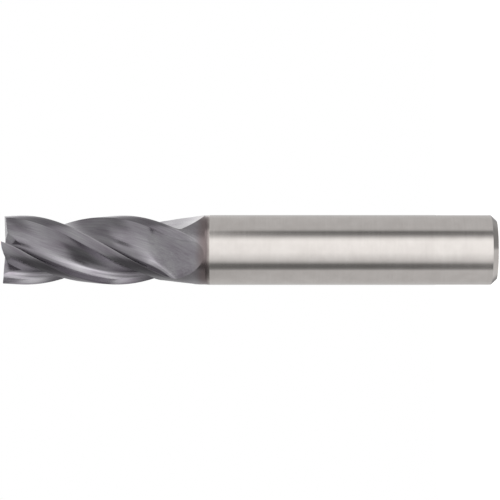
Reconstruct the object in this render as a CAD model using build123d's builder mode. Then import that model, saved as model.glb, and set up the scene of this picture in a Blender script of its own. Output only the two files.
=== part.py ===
from build123d import *

import os
from math import acos, cos, degrees, pi, radians, sin, tan

# Four-flute square end mill in solid carbide, 10 mm shank, right-hand cut, right-hand helix, with unevenly
# spaced teeth against chatter. The tool stands on the rear face of its shank: the origin is the centre of that
# face and +Z runs along the axis to the tip. The real tool is one ground bar. Each region that a tool drawing
# names is a solid of its own here, and the regions meet face to face: the shank, the flute runout, the core and
# four teeth.

# Driving dimensions, in mm and degrees. Lengths along the tool are counted from the tip.
shank_diameter = 10.0
cutting_diameter = 9.9
overall_length = 70.5
helix_angle = 30.0
first_tooth_angle = 17.0  # azimuth of tooth 1's corner at the tip
tooth_spacing = (96.0, 89.0, 87.0, 88.0)  # from each tooth to the next, counted the way the helix leads
relief_length = 27.3  # end of the ground relief behind the edges
runout_length = 28.7  # far end of the flutes
coated_length = 29.5
shoulder_length = 0.6  # cone from the cutting diameter up to the shank
shank_chamfer = 0.8

# Section of one tooth. Angles are counted from the cutting edge, positive ahead of it, into the flute.
margin_angle = -0.6  # narrow cylindrical margin behind the edge
primary_end = (4.88, -7.0)  # radius and angle where the primary relief ends
heel = (4.68, -19.0)  # radius and angle where the secondary relief meets the flute behind
rake_angle = 5.0
back_radius = 2.93  # shortest distance from the axis to the flat back of a flute
fillet_radius = 1.42  # between the rake face and the back
core_radius = 2.85  # just under the flutes' bottoms

# End teeth
dish_angle = 3.0
end_primary_angle = 7.0
end_secondary_angle = 17.0
end_primary_width = 0.9
gash_depth = 0.7  # at the axis
gash_fall = 35.0  # slope of the gash's root, outwards
gash_side = 40.0  # slope of the gash's far side

# Worked out from the dimensions above
radius = cutting_diameter / 2
shank_radius = shank_diameter / 2
lead = pi * cutting_diameter / tan(radians(helix_angle))
turn_per_mm = 360 / lead
coated_base = overall_length - coated_length
shoulder_top = coated_base + shoulder_length
relief_base = overall_length - relief_length
tooth_count = len(tooth_spacing)
tooth_angles = [sum(tooth_spacing[:tooth]) for tooth in range(tooth_count)]
clear = 1.5  # how far a cutter reaches past the bar

# The back of a flute is a flat that touches the circle of back_radius and runs out at the next tooth's heel.
# These are the directions of the flats' normals, from the edge of the tooth ahead of which each flute lies.
back_angles = [spacing + heel[1] - degrees(acos(back_radius / heel[0])) for spacing in tooth_spacing]

# It turns with the helix, then stops turning where the wheel begins to lift out of the cut.
lift_start = 22.2
lift_base = overall_length - lift_start

# Rise of a flute's back from there, as distance from the tip and from the axis
back_rise = [
    (lift_start, back_radius),
    (23.4, 3.24),
    (25.0, 3.80),
    (27.3, 4.44),
    (runout_length, radius),
    (coated_length, radius + 0.35),
]


def polar(r, angle):
    """The point at this radius and angle, in degrees."""
    return (r * cos(radians(angle)), r * sin(radians(angle)))


def edge_angle(z, tooth):
    """Azimuth of a tooth's cutting edge at the height z."""
    return first_tooth_angle + tooth_angles[tooth] - turn_per_mm * (overall_length - z)


def flute_points(z, tooth):
    """Edge, end of the rake face and end of the fillet in the flute ahead of a tooth, at the height z."""
    start = edge_angle(z, tooth)
    rake_x, rake_y = polar(1, start + 90 + rake_angle)
    back_x, back_y = polar(1, start + back_angles[tooth])
    edge = polar(radius, start)
    rake_distance = edge[0] * rake_x + edge[1] * rake_y + fillet_radius
    back_distance = back_radius + fillet_radius
    determinant = rake_x * back_y - rake_y * back_x
    centre_x = (rake_distance * back_y - rake_y * back_distance) / determinant
    centre_y = (rake_x * back_distance - rake_distance * back_x) / determinant
    rake_foot = (centre_x - fillet_radius * rake_x, centre_y - fillet_radius * rake_y)
    fillet_end = (centre_x - fillet_radius * back_x, centre_y - fillet_radius * back_y)
    return edge, rake_foot, fillet_end


def twist(sketch, base, top):
    """The sketch, drawn at the height base, extruded to the height top along the helix."""
    return Solid.extrude_linear_with_rotation(
        sketch.face(), (0, 0, base), (0, 0, top - base), turn_per_mm * (top - base)
    )


# Full section of the fluted bar where the teeth region begins
with BuildSketch(Plane.XY.offset(lift_base)) as fluted_section:
    with BuildLine():
        for tooth in range(tooth_count):
            start = edge_angle(lift_base, tooth)
            edge, rake_foot, fillet_end = flute_points(lift_base, tooth)
            Line(polar(heel[0], start + heel[1]), polar(primary_end[0], start + primary_end[1]))
            Line(polar(primary_end[0], start + primary_end[1]), polar(radius, start + margin_angle))
            RadiusArc(polar(radius, start + margin_angle), edge, -radius)
            Line(edge, rake_foot)
            RadiusArc(rake_foot, fillet_end, fillet_radius)
            Line(fillet_end, polar(heel[0], start + tooth_spacing[tooth] + heel[1]))
    make_face()


def tooth_section(tooth):
    """Section of one tooth outside the core, from the back of the flute behind it to the one ahead."""
    start = edge_angle(lift_base, tooth)
    behind = start - tooth_spacing[tooth - 1] + back_angles[tooth - 1]
    ahead = start + back_angles[tooth]
    with BuildSketch(Plane.XY.offset(lift_base)) as section:
        add(fluted_section.sketch)
        Circle(core_radius, mode=Mode.SUBTRACT)
        with BuildLine():
            Polyline(
                (0, 0),
                polar(2 * radius, behind),
                polar(2 * radius, (behind + ahead) / 2),
                polar(2 * radius, ahead),
                close=True,
            )
        make_face(mode=Mode.INTERSECT)
    return section.sketch


def end_planes():
    """Faces of an end tooth whose edge lies along +X: primary relief, secondary relief, the gash behind it."""
    dish = tan(radians(dish_angle))
    primary = tan(radians(end_primary_angle))
    secondary = tan(radians(end_secondary_angle))
    shoulder = overall_length - end_primary_width * primary
    fall = tan(radians(gash_fall))
    side = tan(radians(gash_side))
    return (
        Plane((radius, 0, overall_length), z_dir=(-dish, -primary, 1)),
        Plane((radius, -end_primary_width, shoulder), z_dir=(-dish, -secondary, 1)),
        Plane((0, 0, overall_length - gash_depth), z_dir=(-side, -fall, 1)),
    )


def end_sector(angle, height):
    """A block over the sector behind an edge that lies along +X, back to the edge of the tooth behind."""
    reach = 2 * radius
    with BuildPart() as sector:
        with BuildSketch(Plane.XY.offset(overall_length - reach)):
            with BuildLine():
                Polyline((0, 0), polar(reach, 0), polar(reach, -angle / 2), polar(reach, -angle), close=True)
            make_face()
        extrude(amount=reach + height)
    return sector.part


def end_cutter(angle):
    """What is ground away above the end tooth whose edge lies along +X, in the sector behind that edge."""
    with BuildPart() as cap:
        add(end_sector(angle, clear))
        for plane in end_planes():
            split(bisect_by=plane, keep=Keep.BOTTOM)
    with BuildPart() as ground:
        add(end_sector(angle, 2 * clear))
        add(cap.part, mode=Mode.SUBTRACT)
    return ground.part


end_cutters = [end_cutter(tooth_spacing[tooth - 1]) for tooth in range(tooth_count)]


def grind_end():
    """Grind the end teeth into the part being built."""
    for tooth in range(tooth_count):
        with Locations(Rotation(0, 0, first_tooth_angle + tooth_angles[tooth])):
            add(end_cutters[tooth], mode=Mode.SUBTRACT)


os.makedirs("parts", exist_ok=True)

# Core
with BuildPart() as core:
    with BuildSketch(Plane.XY.offset(lift_base)):
        Circle(core_radius)
    extrude(amount=overall_length - lift_base)
    grind_end()
core.part.label = "core"
export_step(core.part, "parts/core.step")

# Four teeth
for tooth in range(tooth_count):
    with BuildPart() as tooth_part:
        add(twist(tooth_section(tooth), lift_base, overall_length))
        grind_end()
    tooth_part.part.label = f"tooth_{tooth + 1}"
    export_step(tooth_part.part, f"parts/tooth_{tooth + 1}.step")


def flute_end(tooth):
    """What the wheel grinds away in one flute from the lift to the far end of the flute."""
    start = edge_angle(coated_base, tooth)
    edge, rake_foot, fillet_end = flute_points(coated_base, tooth)
    beyond = Vector(*edge) + (Vector(*edge) - Vector(*rake_foot)).normalized() * 2 * clear
    with BuildSketch(Plane.XY.offset(coated_base)) as rake_side:
        with BuildLine():
            Line(beyond, edge)
            Line(edge, rake_foot)
            RadiusArc(rake_foot, fillet_end, fillet_radius)
            Polyline(
                fillet_end,
                polar(back_radius - 1, start + back_angles[tooth]),
                polar(back_radius - 1, start + 100),
                polar(2 * radius, start + 100),
                polar(2 * radius, start + 50),
                (beyond.X, beyond.Y),
            )
        make_face()
    lift_angle = edge_angle(lift_base, tooth) + back_angles[tooth]
    lift_plane = Plane(
        (0, 0, overall_length),
        x_dir=(*polar(1, lift_angle), 0),
        z_dir=(*polar(1, lift_angle - 90), 0),
    )
    rise = [(distance, -along) for along, distance in back_rise]
    with BuildPart() as cut:
        with BuildSketch(lift_plane):
            with BuildLine():
                Spline(rise, tangents=((0, -1), (1, -1)))
                Polyline(rise[-1], (2 * radius, rise[-1][1]), (2 * radius, rise[0][1]), rise[0])
            make_face()
        extrude(amount=2 * radius, both=True)
        add(twist(rake_side.sketch, coated_base, lift_base), mode=Mode.INTERSECT)
    return cut.part


def relief_cut(tooth):
    """What is ground away behind one tooth's edge from the lift to the end of the relief."""
    start = edge_angle(relief_base, tooth)
    with BuildSketch(Plane.XY.offset(relief_base)) as relief:
        with BuildLine():
            Polyline(
                polar(radius, start + margin_angle),
                polar(primary_end[0], start + primary_end[1]),
                polar(heel[0], start + heel[1]),
                polar(heel[0], start + 1.5 * heel[1]),
                polar(radius + clear, start + 1.5 * heel[1]),
                polar(radius + clear, start + margin_angle),
                close=True,
            )
        make_face()
    return twist(relief.sketch, relief_base, lift_base)


# Flute runout: the bar with the far ends of the flutes and of the relief, and the shoulder up to the shank
with BuildPart() as flute_runout:
    with BuildSketch(Plane.XY.offset(shoulder_top)):
        Circle(radius)
    extrude(amount=lift_base - shoulder_top)
    with Locations((0, 0, coated_base)):
        Cone(shank_radius, radius, shoulder_length, align=(Align.CENTER, Align.CENTER, Align.MIN))
    for tooth in range(tooth_count):
        add(relief_cut(tooth), mode=Mode.SUBTRACT)
        add(flute_end(tooth), mode=Mode.SUBTRACT)
flute_runout.part.label = "flute_runout"
export_step(flute_runout.part, "parts/flute_runout.step")

# Shank
with BuildPart() as shank:
    Cylinder(shank_radius, coated_base, align=(Align.CENTER, Align.CENTER, Align.MIN))
    chamfer(shank.edges().sort_by(Axis.Z)[0], shank_chamfer)
shank.part.label = "shank"
export_step(shank.part, "parts/shank.step")
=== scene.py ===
import math

import bmesh
import bpy
import numpy as np
from mathutils import Matrix, Vector


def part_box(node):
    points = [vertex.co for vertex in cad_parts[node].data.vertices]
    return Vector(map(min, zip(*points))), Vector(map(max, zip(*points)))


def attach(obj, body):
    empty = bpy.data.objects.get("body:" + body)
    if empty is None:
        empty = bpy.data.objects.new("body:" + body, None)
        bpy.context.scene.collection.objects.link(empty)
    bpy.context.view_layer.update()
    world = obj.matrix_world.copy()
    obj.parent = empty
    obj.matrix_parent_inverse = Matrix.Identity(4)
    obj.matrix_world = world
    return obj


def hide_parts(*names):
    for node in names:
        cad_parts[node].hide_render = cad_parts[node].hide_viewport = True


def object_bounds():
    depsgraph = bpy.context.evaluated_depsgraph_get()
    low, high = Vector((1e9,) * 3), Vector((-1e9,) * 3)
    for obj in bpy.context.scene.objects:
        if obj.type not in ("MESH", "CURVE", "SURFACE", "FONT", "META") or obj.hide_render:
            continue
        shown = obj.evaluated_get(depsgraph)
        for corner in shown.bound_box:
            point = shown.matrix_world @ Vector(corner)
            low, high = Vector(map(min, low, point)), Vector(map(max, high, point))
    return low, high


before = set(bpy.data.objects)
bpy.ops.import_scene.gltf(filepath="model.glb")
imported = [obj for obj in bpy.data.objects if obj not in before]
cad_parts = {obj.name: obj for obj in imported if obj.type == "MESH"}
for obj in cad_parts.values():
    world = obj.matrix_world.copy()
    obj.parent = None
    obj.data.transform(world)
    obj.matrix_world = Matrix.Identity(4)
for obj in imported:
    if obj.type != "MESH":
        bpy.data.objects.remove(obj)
cad_low, cad_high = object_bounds()

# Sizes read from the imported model, in metres. Lengths called "along" are counted from the tip.
MM = 0.001
tool_length = cad_high.z - cad_low.z
coated_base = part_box("shank")[1].z
coated_length = tool_length - coated_base

# Dimensions of the fluted head, in millimetres and degrees. The outside is as the model has it. The
# flutes have slightly concave backs, and the edges fall back a little at the tip. Angles in a section are
# counted from the cutting edge, positive ahead of it, into the flute.
head_radius = 4.95
shank_radius = 5.0
helix_angle = 30.0
turn_per_mm = 180 * math.tan(math.radians(helix_angle)) / (math.pi * head_radius)
first_tooth_angle = 17.0
tooth_spacing = (96.0, 89.0, 87.0, 88.0)
tip_turn = 4.5  # how far each edge falls back at the tip, where the gash straightens it
tip_reach = 3.2
shoulder_length = 0.6
margin_angle = 0.6
primary_radius, primary_angle = 4.88, 7.0
heel_radius, heel_angle = 4.68, 19.0
relief_end = 27.3
relief_run = (0.25, 0.15)  # along the tool, before and after that, over which the relief runs out
heel_land, heel_blend = 7.0, 12.0  # degrees past the heel: end of the relief's radius, start of the full one
rake_angle = 5.0
fillet_radius = 1.2
back_distance = 2.93
back_curvature = 1 / 10.5  # of a flute's concave back, per millimetre

# A flute's back where the wheel lifts: distance along the tool against height of the back above the axis,
# against its curvature as a share of the flute's, and against how far its normal has turned back from the
# last helical one.
lift_start = 20.6
back_rise = (
    (0.0, back_distance),
    (lift_start, back_distance),
    (22.4, 3.17),
    (24.6, 3.75),
    (27.3, 4.44),
    (28.7, head_radius),
    (30.0, 5.5),
)
curvature_share = ((0.0, 1.0), (lift_start, 1.0), (23.6, 0.0), (30.0, 0.0))
lift_normal = ((23.6, 0.0), (25.0, 0.5), (26.6, 3.5), (28.7, 8.5), (30.0, 8.5))

# Direction of the lifted back's normal, from where the edge's helix meets the tip, for the widest spacing
lift_normal_at_tip = -123.5

# End teeth
dish_angle = 3.0
end_primary_angle = 7.0
end_secondary_angle = 17.0
end_primary_width = 0.9
gash_depth = 0.7
gash_fall = 35.0
gash_side = 40.0

# Camera: square to the axis, rolled so that the tool lies level with its tip to the left
view_width = 0.07157
view_distance = 0.40
view_centre = Vector((0.0, 0.0, tool_length - 0.03525))


def make_camera():
    """A camera on the -Y side, with the tool's axis level across its view."""
    data = bpy.data.cameras.new("camera")
    data.sensor_width = 36.0
    data.lens = data.sensor_width * view_distance / view_width
    camera = bpy.data.objects.new("camera", data)
    bpy.context.scene.collection.objects.link(camera)
    right, up, back = Vector((0, 0, -1)), Vector((1, 0, 0)), Vector((0, -1, 0))
    turn = Matrix((right, up, back)).transposed().to_4x4()
    camera.matrix_world = Matrix.Translation(view_centre + back * view_distance) @ turn
    bpy.context.scene.camera = camera


make_camera()


def curve_through(points, along):
    """A smooth curve through (along, value) points, without overshoot."""
    x, y = np.array(points).T
    slope = np.diff(y) / np.diff(x)
    tangent = np.zeros(len(x))
    same_way = slope[1:] * slope[:-1] > 0
    tangent[1:-1][same_way] = 2 * (slope[1:] * slope[:-1] / (slope[1:] + slope[:-1] + 1e-12))[same_way]
    tangent[0], tangent[-1] = slope[0], slope[-1]
    i = np.clip(np.searchsorted(x, along) - 1, 0, len(x) - 2)
    width = x[i + 1] - x[i]
    t = np.clip((along - x[i]) / width, 0, 1)
    start, end = 2 * t**3 - 3 * t**2 + 1, 3 * t**2 - 2 * t**3
    leave, arrive = t**3 - 2 * t**2 + t, t**3 - t**2
    return start * y[i] + end * y[i + 1] + width * (leave * tangent[i] + arrive * tangent[i + 1])


def smooth_step(low, high, x):
    """0 below low and 1 above high, with a smooth rise."""
    t = np.clip((x - low) / (high - low), 0, 1)
    return t * t * (3 - 2 * t)


def direction(angle):
    """Unit vectors at these angles, in degrees."""
    a = np.radians(angle)
    return np.stack((np.cos(a), np.sin(a)), axis=-1)


def azimuth(points):
    """Angles of these points round the axis, in degrees."""
    return np.degrees(np.arctan2(points[..., 1], points[..., 0]))


def outer_radius(behind, along):
    """Radius of the ground outside, this many degrees behind a tooth's edge."""
    relief = np.interp(
        behind,
        (0.0, margin_angle, primary_angle, heel_angle, heel_angle + heel_land, heel_angle + heel_blend),
        (head_radius, head_radius, primary_radius, heel_radius, heel_radius, head_radius),
    )
    ground = 1 - smooth_step(relief_end - relief_run[0], relief_end + relief_run[1], along)
    shoulder = shank_radius - head_radius
    rise = np.clip((along - (coated_length / MM - shoulder_length)) / shoulder_length, 0, 1)
    return head_radius + (relief - head_radius) * ground + shoulder * rise


def tooth_angle(tooth):
    """Azimuth at which the helix of a tooth's edge meets the tip."""
    return first_tooth_angle + sum(tooth_spacing[:tooth])


def edge_azimuth(tooth, along):
    """Azimuth of a tooth's cutting edge at these distances along."""
    gashed = np.clip(1 - along / tip_reach, 0, 1)
    return tooth_angle(tooth) - turn_per_mm * along - tip_turn * gashed**2


# How finely a flute's section is drawn before its columns are picked from it, and how far it is drawn
# past the outside of the head at either end
rake_samples, fillet_samples, back_samples = 59, 47, 159
rake_excess, back_excess = 1.0, 1.2
heel_rounds, fillet_rounds, foot_rounds = 30, 40, 4  # enough for the repeated estimates below to settle


def flute_outline(tooth, along):
    """The flute ahead of a tooth as columns of points, from rake face to back, and its edge's azimuth."""
    spacing = tooth_spacing[tooth]
    edge_angle = edge_azimuth(tooth, along)
    edge = head_radius * direction(edge_angle)
    rake_normal = direction(edge_angle + 90 + rake_angle)
    rake_inward = -direction(edge_angle + rake_angle)

    # Back: distance n from the axis against t across it, n = rise + curvature * t * t / 2
    rise = curve_through(back_rise, along)
    curvature = back_curvature * curve_through(curvature_share, along)
    reach = np.full_like(along, heel_radius)
    for _ in range(heel_rounds):
        height = back_distance + back_curvature * reach**2 / 2
        reach = np.sqrt(heel_radius**2 - height**2) * 0.5 + reach * 0.5
    to_heel = np.degrees(np.arctan2(reach, back_distance + back_curvature * reach**2 / 2))
    helical = edge_angle + spacing - heel_angle - to_heel
    lifted = tooth_angle(tooth) + lift_normal_at_tip + spacing - max(tooth_spacing)
    lifted = lifted + curve_through(lift_normal, np.maximum(along, lift_normal[0][0]))
    share = smooth_step(lift_start, lift_normal[0][0], along)
    normal_angle = helical * (1 - share) + lifted * share
    normal, across = direction(normal_angle), direction(normal_angle + 90)

    def back_point(t):
        n = rise + curvature * t * t / 2
        return n[:, None] * normal + t[:, None] * across

    # Fillet: its centre is a radius away from both the rake face and the back
    low, high = np.full_like(along, -3.0), np.full_like(along, 12.0)
    for _ in range(fillet_rounds):
        middle = (low + high) / 2
        centre = edge + rake_inward * middle[:, None] + rake_normal * fillet_radius
        n = (centre * normal).sum(-1)
        t = (centre * across).sum(-1)
        foot = t + 0.0
        for _ in range(foot_rounds):
            foot = (t + curvature * foot * (n - rise - curvature * foot**2 / 2)) * 0.5 + foot * 0.5
        gap = centre - back_point(foot)
        far = (gap * normal).sum(-1) > fillet_radius * np.cos(np.arctan(curvature * foot))
        low, high = np.where(far, middle, low), np.where(far, high, middle)
    rake_foot = centre - rake_normal * fillet_radius
    start = np.degrees(np.arctan2(-rake_normal[:, 1], -rake_normal[:, 0]))
    to_back = back_point(foot) - centre
    swing = np.degrees(np.arctan2(to_back[:, 1], to_back[:, 0])) - start
    swing = (swing + 180) % 360 - 180

    samples = []
    outside = edge - rake_inward * rake_excess
    for s in np.linspace(0, 1, rake_samples + 1)[:-1]:
        samples.append(outside + (rake_foot - outside) * s)
    for s in np.linspace(0, 1, fillet_samples + 1)[:-1]:
        samples.append(centre + fillet_radius * direction(start + swing * s))
    for s in np.linspace(0, 1, back_samples + 1):
        samples.append(back_point(foot + (head_radius + back_excess - foot) * s))
    return np.stack(samples, axis=1), edge_angle


# How many points each stretch of the section gets: rake face, fillet and back, then the next tooth's
# secondary relief, primary relief and margin, and the plain cylinder ahead of its edge where the flute
# has run out
flute_columns = (12, 26, 40)
land_columns = (34, 8, 3, 24)
row_spacing = 0.1  # between rings of points along the helical stretch, in millimetres
lift_rows = 150  # rings from where the flutes lift to the shank


def trim(points, tooth, edge_angle, along):
    """Keep what lies inside the ground outside, shared out in the same number of columns in every row."""
    next_edge = (edge_angle + tooth_spacing[tooth])[:, None]
    behind = (next_edge - azimuth(points)) % 360
    inside = np.linalg.norm(points, axis=-1) - outer_radius(behind, along[:, None])
    pieces = np.cumsum((0, rake_samples, fillet_samples, back_samples))
    rows = []
    for row, depth in enumerate(inside):
        kept = np.nonzero(depth < 0)[0]
        if len(kept) == 0:
            middle = np.argmin(depth)
            first = last = float(middle)
        else:
            a, b = kept[0], kept[-1]
            first = a if a == 0 else a - 1 + depth[a - 1] / (depth[a - 1] - depth[a])
            last = b if b == len(depth) - 1 else b + depth[b] / (depth[b] - depth[b + 1])
        places = []
        for count, low, high in zip(flute_columns, pieces, pieces[1:]):
            low, high = np.clip((low, high), first, last)
            places.append(np.linspace(low, high, count + 1)[:-1])
        places.append([last])
        places = np.concatenate(places)
        floor = np.minimum(places.astype(int), points.shape[1] - 2)
        part = (places - floor)[:, None]
        rows.append(points[row, floor] * (1 - part) + points[row, floor + 1] * part)
    flute = np.stack(rows)
    behind = (next_edge - azimuth(flute)) % 360
    reach = np.linalg.norm(flute, axis=-1)
    return flute * np.minimum(outer_radius(behind, along[:, None]) / reach, 1)[..., None]


def land(start, end, edge_angle, along):
    """Outside of a tooth in columns, from the flute behind it to its edge and on to the flute ahead."""
    behind = np.maximum((edge_angle - azimuth(start) + 90) % 360 - 90, 0)
    ahead = np.maximum((azimuth(end) - edge_angle + 90) % 360 - 90, 0)
    primary, margin = (np.minimum(angle, behind) for angle in (primary_angle, margin_angle))
    corners = (behind, primary, margin, 0 * behind, -ahead)
    columns = []
    for count, low, high in zip(land_columns, corners, corners[1:]):
        for s in np.arange(0 if columns else 1, count) / count:
            angle = low + (high - low) * s
            columns.append(outer_radius(angle, along)[:, None] * direction(edge_angle - angle))
    return np.stack(columns, axis=1)


def head_rows():
    """Distances along the tool at which the head has a ring of points, closer together in the lift."""
    helical = np.arange(0.0, lift_start, row_spacing)
    lifting = np.linspace(lift_start, coated_length / MM, lift_rows)
    return np.concatenate((helical, lifting))


def make_head():
    """The fluted head before its end teeth are cut, as one closed mesh."""
    along = head_rows()
    edges, flutes = [], []
    for tooth in range(4):
        points, edge_angle = flute_outline(tooth, along)
        edges.append(edge_angle)
        flutes.append(trim(points, tooth, edge_angle, along))
    stretches = []
    for tooth in range(4):
        ahead = (tooth + 1) % 4
        stretches += [flutes[tooth], land(flutes[tooth][:, -1], flutes[ahead][:, 0], edges[ahead], along)]
    ring = np.concatenate(stretches, axis=1)
    rows, columns = ring.shape[:2]
    height = tool_length / MM - np.repeat(along, columns)
    vertices = np.column_stack((ring.reshape(-1, 2), height)) * MM
    row, column = np.meshgrid(np.arange(rows - 1), np.arange(columns), indexing="ij")
    following = (column + 1) % columns
    here, below = row * columns, (row + 1) * columns
    corners = (here + column, below + column, below + following, here + following)
    quads = np.stack(corners, axis=-1).reshape(-1, 4)
    top = list(range(columns))
    bottom = list(range((rows - 1) * columns, rows * columns))[::-1]
    mesh = bpy.data.meshes.new("fluted_head")
    mesh.from_pydata(vertices.tolist(), [], quads.tolist() + [top, bottom])
    head = bpy.data.objects.new("fluted_head", mesh)
    bpy.context.scene.collection.objects.link(head)
    return head


def end_cutters():
    """Blocks that stand on the faces of the end teeth: primary relief, secondary relief and the gash behind."""
    tan = {name: math.tan(math.radians(angle)) for name, angle in (
        ("dish", dish_angle),
        ("primary", end_primary_angle),
        ("secondary", end_secondary_angle),
        ("fall", gash_fall),
        ("side", gash_side),
    )}
    length = tool_length / MM
    shoulder = length - end_primary_width * tan["primary"]
    planes = (
        (head_radius, 0.0, length, tan["dish"], tan["primary"]),
        (head_radius, -end_primary_width, shoulder, tan["dish"], tan["secondary"]),
        (0.0, 0.0, length - gash_depth, tan["side"], tan["fall"]),
    )
    overlap = 0.02  # degrees past the edge behind, so that neighbouring cuts leave nothing between them
    reach = 12.0  # past the bar, outwards and upwards
    for tooth in range(4):
        sector = tooth_spacing[tooth - 1] + overlap
        turn = tooth_angle(tooth) - tip_turn
        corners = direction(np.array((0, -sector / 2, -sector)))
        outline = [(0.0, 0.0)] + [(reach * a, reach * b) for a, b in corners]
        for x0, y0, z0, slope_x, slope_y in planes:
            floor = [(x, y, z0 + slope_x * (x - x0) + slope_y * (y - y0)) for x, y in outline]
            ceiling = [(x, y, length + reach) for x, y in outline]
            mesh = bpy.data.meshes.new("end_cutter")
            sides = [(i, (i + 1) % 4, 4 + (i + 1) % 4, 4 + i) for i in range(4)]
            faces = [(0, 1, 2, 3), (7, 6, 5, 4)] + [tuple(reversed(side)) for side in sides]
            mesh.from_pydata([tuple(MM * c for c in corner) for corner in floor + ceiling], [], faces)
            mesh.transform(Matrix.Rotation(math.radians(turn), 4, "Z"))
            cutter = bpy.data.objects.new("end_cutter", mesh)
            bpy.context.scene.collection.objects.link(cutter)
            yield cutter


def grind_end(head):
    """Cut the end teeth, and make the modifiers' result the head's own mesh."""
    cutters = list(end_cutters())
    for cutter in cutters:
        modifier = head.modifiers.new("grind", "BOOLEAN")
        modifier.operation = "DIFFERENCE"
        modifier.solver = "MANIFOLD"
        modifier.object = cutter
    depsgraph = bpy.context.evaluated_depsgraph_get()
    mesh = bpy.data.meshes.new_from_object(head.evaluated_get(depsgraph))
    head.modifiers.clear()
    head.data = mesh
    for cutter in cutters:
        bpy.data.objects.remove(cutter)


join_distance = 1e-7  # in metres
sharp_angle = 5.0  # between faces that meet in an edge, in degrees


def finish_mesh(head):
    """Join the points of collapsed columns and keep the ground edges crisp."""
    work = bmesh.new()
    work.from_mesh(head.data)
    bmesh.ops.remove_doubles(work, verts=work.verts, dist=join_distance)
    bmesh.ops.dissolve_degenerate(work, edges=work.edges, dist=join_distance)
    work.to_mesh(head.data)
    work.free()
    head.data.polygons.foreach_set("use_smooth", [True] * len(head.data.polygons))
    head.data.set_sharp_from_angle(angle=math.radians(sharp_angle))


head = make_head()
finish_mesh(head)
grind_end(head)
finish_mesh(head)
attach(head, "root")
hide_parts("core", "flute_runout", "tooth_1", "tooth_2", "tooth_3", "tooth_4")


class Nodes:
    """Short names for building a node tree."""

    def __init__(self, tree):
        self.tree = tree
        tree.nodes.clear()

    def add(self, kind, **settings):
        node = self.tree.nodes.new(kind)
        for name, value in settings.items():
            setattr(node, name, value)
        return node

    def link(self, source, target):
        self.tree.links.new(source, target)

    def put(self, socket, value):
        """Link a value's output to a socket, or set the socket to a plain value."""
        if isinstance(value, bpy.types.NodeSocket):
            self.link(value, socket)
        elif value is not None:
            socket.default_value = value

    def math(self, operation, first, second=None, third=None):
        node = self.add("ShaderNodeMath", operation=operation)
        for socket, value in zip(node.inputs, (first, second, third)):
            self.put(socket, value)
        return node.outputs[0]

    def between(self, value, low, high):
        """0 below low and 1 above high, with a smooth rise."""
        node = self.add("ShaderNodeMapRange", interpolation_type="SMOOTHSTEP")
        for name, given in (("Value", value), ("From Min", low), ("From Max", high)):
            self.put(node.inputs[name], given)
        return node.outputs["Result"]

    def ramp(self, factor, stops):
        """A colour ramp through (place, colour) stops."""
        node = self.add("ShaderNodeValToRGB")
        self.link(factor, node.inputs[0])
        elements = node.color_ramp.elements
        while len(elements) < len(stops):
            elements.new(0.5)
        for element, (place, colour) in zip(elements, stops):
            element.position = place
            element.color = (*colour, 1.0)
        return node.outputs[0]

    def mix(self, factor, first, second):
        node = self.add("ShaderNodeMix", data_type="RGBA")
        self.put(node.inputs[0], factor)
        for socket, value in ((node.inputs[6], first), (node.inputs[7], second)):
            self.put(socket, (*value, 1.0) if isinstance(value, tuple) else value)
        return node.outputs[2]

    def noise(self, vector, scale, stretch=(1, 1, 1), detail=3.0):
        """Noise over coordinates in millimetres, stretched by dividing them."""
        mapping = self.add("ShaderNodeMapping")
        mapping.inputs["Scale"].default_value = stretch
        self.link(vector, mapping.inputs["Vector"])
        node = self.add("ShaderNodeTexNoise")
        node.inputs["Scale"].default_value = scale
        node.inputs["Detail"].default_value = detail
        self.link(mapping.outputs[0], node.inputs["Vector"])
        return node.outputs["Fac"]


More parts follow.
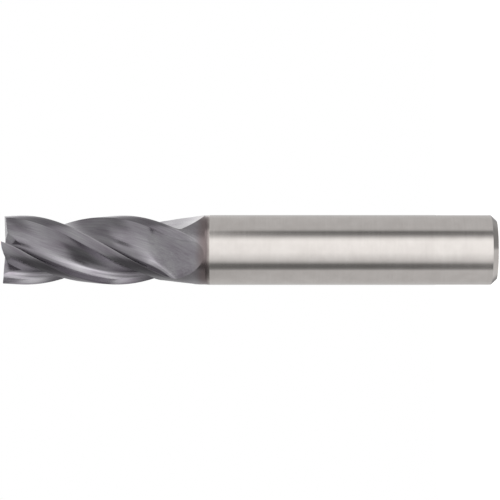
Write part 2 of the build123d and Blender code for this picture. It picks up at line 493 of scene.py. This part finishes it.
# Studio: a light tent round the tool. Each ring of panels stands at an elevation, toward the tip when
# positive, and gives brightness by azimuth from the camera's side, both in degrees. Level with the camera
# the front panel is brightest, and a narrow dark gap parts it from the side panel on each hand. A strong
# panel stands low in front on the shank's side, and the tent is dim below the tool on the tip's side.
level_panels = (
    (-180, 0.66),
    (-72, 0.64),
    (-66, 0.30),
    (-58, 0.16),
    (-48, 0.20),
    (-42, 0.50),
    (-35, 0.76),
    (-24, 0.95),
    (-8, 1.22),
    (28, 1.30),
    (36, 1.10),
    (44, 0.62),
    (52, 0.26),
    (62, 0.17),
    (70, 0.55),
    (78, 0.64),
    (180, 0.66),
)
tent = (
    (-70, (
        (-180, 0.70),
        (60, 0.70),
        (100, 0.30),
        (140, 0.30),
        (180, 0.70),
    )),
    (-45, (
        (-180, 0.60),
        (-150, 0.75),
        (-125, 0.70),
        (-95, 0.40),
        (-60, 0.36),
        (-42, 0.55),
        (-28, 1.10),
        (-12, 1.80),
        (5, 2.00),
        (28, 1.75),
        (60, 1.40),
        (80, 1.00),
        (100, 0.40),
        (124, 0.22),
        (150, 0.45),
        (180, 0.60),
    )),
    (-20, (
        (-180, 0.25),
        (-130, 0.30),
        (-95, 0.55),
        (-80, 1.20),
        (-62, 2.20),
        (-48, 3.00),
        (-30, 2.50),
        (0, 1.95),
        (15, 1.60),
        (40, 0.80),
        (85, 0.60),
        (125, 0.25),
        (180, 0.40),
    )),
    (-9, (
        (-180, 0.50),
        (-130, 0.55),
        (-85, 0.85),
        (-60, 1.30),
        (-45, 2.40),
        (-20, 2.20),
        (0, 1.75),
        (30, 1.15),
        (75, 1.25),
        (86, 0.60),
        (180, 0.55),
    )),
    (-5.5, level_panels),
    (0.6, level_panels),
    (2.5, (
        (-180, 0.50),
        (-130, 0.70),
        (-110, 0.38),
        (-80, 0.20),
        (-46, 0.24),
        (-37, 0.60),
        (-28, 0.92),
        (0, 1.15),
        (30, 1.15),
        (52, 1.40),
        (64, 1.25),
        (76, 0.55),
        (110, 0.55),
        (135, 0.80),
        (152, 1.40),
        (180, 1.40),
    )),
    (24, (
        (-180, 0.55),
        (-124, 0.26),
        (-62, 0.22),
        (-50, 0.40),
        (-42, 0.80),
        (-15, 1.00),
        (25, 1.10),
        (50, 0.85),
        (76, 0.50),
        (120, 0.60),
        (152, 1.35),
        (180, 1.35),
    )),
    (38, (
        (-180, 0.60),
        (-66, 0.80),
        (10, 0.92),
        (28, 0.60),
        (45, 0.42),
        (90, 0.60),
        (180, 0.60),
    )),
)
brightest = 3.0  # what white stands for in the ramps


def make_world():
    """The tent lights the tool, and the camera sees plain white behind it."""
    world = bpy.data.worlds.new("light_tent")
    bpy.context.scene.world = world
    world.use_nodes = True
    n = Nodes(world.node_tree)
    split = n.add("ShaderNodeSeparateXYZ")
    n.link(n.add("ShaderNodeTexCoord").outputs["Generated"], split.inputs[0])
    toward = n.math("MULTIPLY", split.outputs["Y"], -1.0)
    place = n.math("MULTIPLY_ADD", n.math("ARCTAN2", split.outputs["X"], toward), 1 / (2 * math.pi), 0.5)

    def ring(panels):
        return n.ramp(place, [(0.5 + angle / 360, (value / brightest,) * 3) for angle, value in panels])

    light = ring(tent[0][1])
    for (low, _), (high, panels) in zip(tent, tent[1:]):
        heights = (math.sin(math.radians(elevation)) for elevation in (low, high))
        light = n.mix(n.between(split.outputs["Z"], *heights), light, ring(panels))
    lit = n.add("ShaderNodeBackground")
    n.link(light, lit.inputs["Color"])
    lit.inputs["Strength"].default_value = brightest
    seen = n.add("ShaderNodeBackground")
    seen.inputs["Color"].default_value = (1, 1, 1, 1)
    mix = n.add("ShaderNodeMixShader")
    n.link(n.add("ShaderNodeLightPath").outputs["Is Camera Ray"], mix.inputs[0])
    n.link(lit.outputs[0], mix.inputs[1])
    n.link(seen.outputs[0], mix.inputs[2])
    n.link(mix.outputs[0], n.add("ShaderNodeOutputWorld").inputs["Surface"])


make_world()


def millimetres(n):
    """The object's own coordinates, in millimetres."""
    scale = n.add("ShaderNodeVectorMath", operation="SCALE")
    n.link(n.add("ShaderNodeTexCoord").outputs["Object"], scale.inputs[0])
    scale.inputs["Scale"].default_value = 1000.0
    return scale.outputs[0]


bump_depth = 0.01 * MM


def finish_material(n, colour, roughness, height, bump_strength):
    """Metal with this colour and roughness, and a bump from a height in millimetres."""
    bump = n.add("ShaderNodeBump")
    bump.inputs["Strength"].default_value = bump_strength
    bump.inputs["Distance"].default_value = bump_depth
    n.link(height, bump.inputs["Height"])
    shader = n.add("ShaderNodeBsdfPrincipled")
    n.link(colour, shader.inputs["Base Color"])
    n.link(roughness, shader.inputs["Roughness"])
    n.link(bump.outputs[0], shader.inputs["Normal"])
    shader.inputs["Metallic"].default_value = 1.0
    n.link(shader.outputs[0], n.add("ShaderNodeOutputMaterial").inputs["Surface"])


def bare_carbide():
    """Centreless-ground carbide: fine rings round the axis and a faint mottle."""
    material = bpy.data.materials.new("bare_carbide")
    material.use_nodes = True
    n = Nodes(material.node_tree)
    place = millimetres(n)
    rings = n.noise(place, 1.0, stretch=(0.15, 0.15, 9.0), detail=5.0)
    mottle = n.noise(place, 0.5, detail=4.0)
    blend = n.math("MULTIPLY_ADD", rings, 0.35, n.math("MULTIPLY", mottle, 0.65))
    colour = n.ramp(blend, [(0.3, (0.60, 0.565, 0.54)), (0.7, (0.675, 0.64, 0.615))])
    roughness = n.math("MULTIPLY_ADD", rings, 0.05, 0.085)
    finish_material(n, colour, roughness, rings, 0.06)
    return material


def coated_carbide():
    """Violet-grey coating over helical grinding lines, with painted shade on the lands and a painted highlight
    on the margins, fading out at the shank.
    """
    material = bpy.data.materials.new("coated_carbide")
    material.use_nodes = True
    n = Nodes(material.node_tree)
    place = millimetres(n)
    split = n.add("ShaderNodeSeparateXYZ")
    n.link(place, split.inputs[0])
    z = split.outputs["Z"]
    untwist = n.add("ShaderNodeVectorRotate", rotation_type="Z_AXIS")
    n.link(place, untwist.inputs["Vector"])
    n.link(n.math("MULTIPLY", z, -math.radians(turn_per_mm)), untwist.inputs["Angle"])
    lines = n.noise(untwist.outputs[0], 1.0, stretch=(7.0, 7.0, 0.35), detail=5.0)
    cloud = n.noise(untwist.outputs[0], 0.6, stretch=(1.0, 1.0, 0.4), detail=3.0)
    grain = n.noise(place, 14.0, detail=2.0)
    tint = n.math("MULTIPLY_ADD", lines, 0.45, n.math("MULTIPLY", cloud, 0.55))
    colour = n.ramp(tint, [
        (0.34, (0.195, 0.175, 0.20)),
        (0.5, (0.25, 0.238, 0.258)),
        (0.66, (0.30, 0.295, 0.305)),
    ])
    squares = (n.math("POWER", split.outputs[axis], 2.0) for axis in "XY")
    radius = n.math("POWER", n.math("ADD", *squares), 0.5)
    base = coated_base / MM

    # Painted shade: the lands, outside the heel's radius, are darkened in colour
    land = n.math("MULTIPLY", n.between(radius, heel_radius - 0.06, heel_radius + 0.02), 0.14)
    land = n.math("MULTIPLY", land, n.between(z, base + 2.2, base + 3.5))
    colour = n.mix(land, colour, (0, 0, 0))
    # Painted highlight: the margins, at the outermost radius, are a little lighter, mottled by the grain
    margin_highlight = n.math("MULTIPLY", n.between(radius, head_radius - 0.03, head_radius), grain)
    margin_highlight = n.math("MULTIPLY", margin_highlight, n.between(z, base + 0.5, base + 3.0))
    colour = n.mix(margin_highlight, colour, (0.34, 0.33, 0.34))

    # Toward the shank the coating thins to brown and ends
    fade_height = n.math("MULTIPLY_ADD", cloud, 0.5, z)
    fade = n.between(fade_height, base + 1.0, base + 2.6)
    thin = n.mix(n.between(fade_height, base, base + 0.75), (0.56, 0.52, 0.49), (0.205, 0.17, 0.17))
    colour = n.mix(fade, thin, colour)
    roughness = n.math("MULTIPLY_ADD", lines, 0.08, n.math("MULTIPLY_ADD", grain, 0.05, 0.12))
    height = n.math("MULTIPLY_ADD", grain, 0.25, lines)
    finish_material(n, colour, roughness, height, 0.32)
    return material


def floor_material():
    """Pale matt paper."""
    material = bpy.data.materials.new("floor_paper")
    material.use_nodes = True
    n = Nodes(material.node_tree)
    colour = n.ramp(n.noise(millimetres(n), 0.4), [(0.3, (0.93, 0.93, 0.93)), (0.7, (0.96, 0.96, 0.96))])
    shader = n.add("ShaderNodeBsdfPrincipled")
    n.link(colour, shader.inputs["Base Color"])
    shader.inputs["Roughness"].default_value = 0.9
    shader.inputs["Emission Color"].default_value = (1, 1, 1, 1)
    shader.inputs["Emission Strength"].default_value = 0.7
    n.link(shader.outputs[0], n.add("ShaderNodeOutputMaterial").inputs["Surface"])
    return material


def make_floor():
    """A disc of paper under the tool, which doesn't show in its reflections."""
    floor_radius = 0.13
    sides = 96
    rim = floor_radius * direction(np.arange(sides) * 360 / sides)
    mesh = bpy.data.meshes.new("floor")
    mesh.from_pydata([(x, y, 0.0) for x, y in rim.tolist()], [], [list(range(sides))])
    mesh.materials.append(floor_material())
    floor = bpy.data.objects.new("floor", mesh)
    bpy.context.scene.collection.objects.link(floor)
    floor.visible_glossy = False


make_floor()
head.data.materials.clear()
head.data.materials.append(coated_carbide())
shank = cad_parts["shank"]
shank.data.materials.clear()
shank.data.materials.append(bare_carbide())

bpy.context.scene.view_settings.view_transform = "Standard"
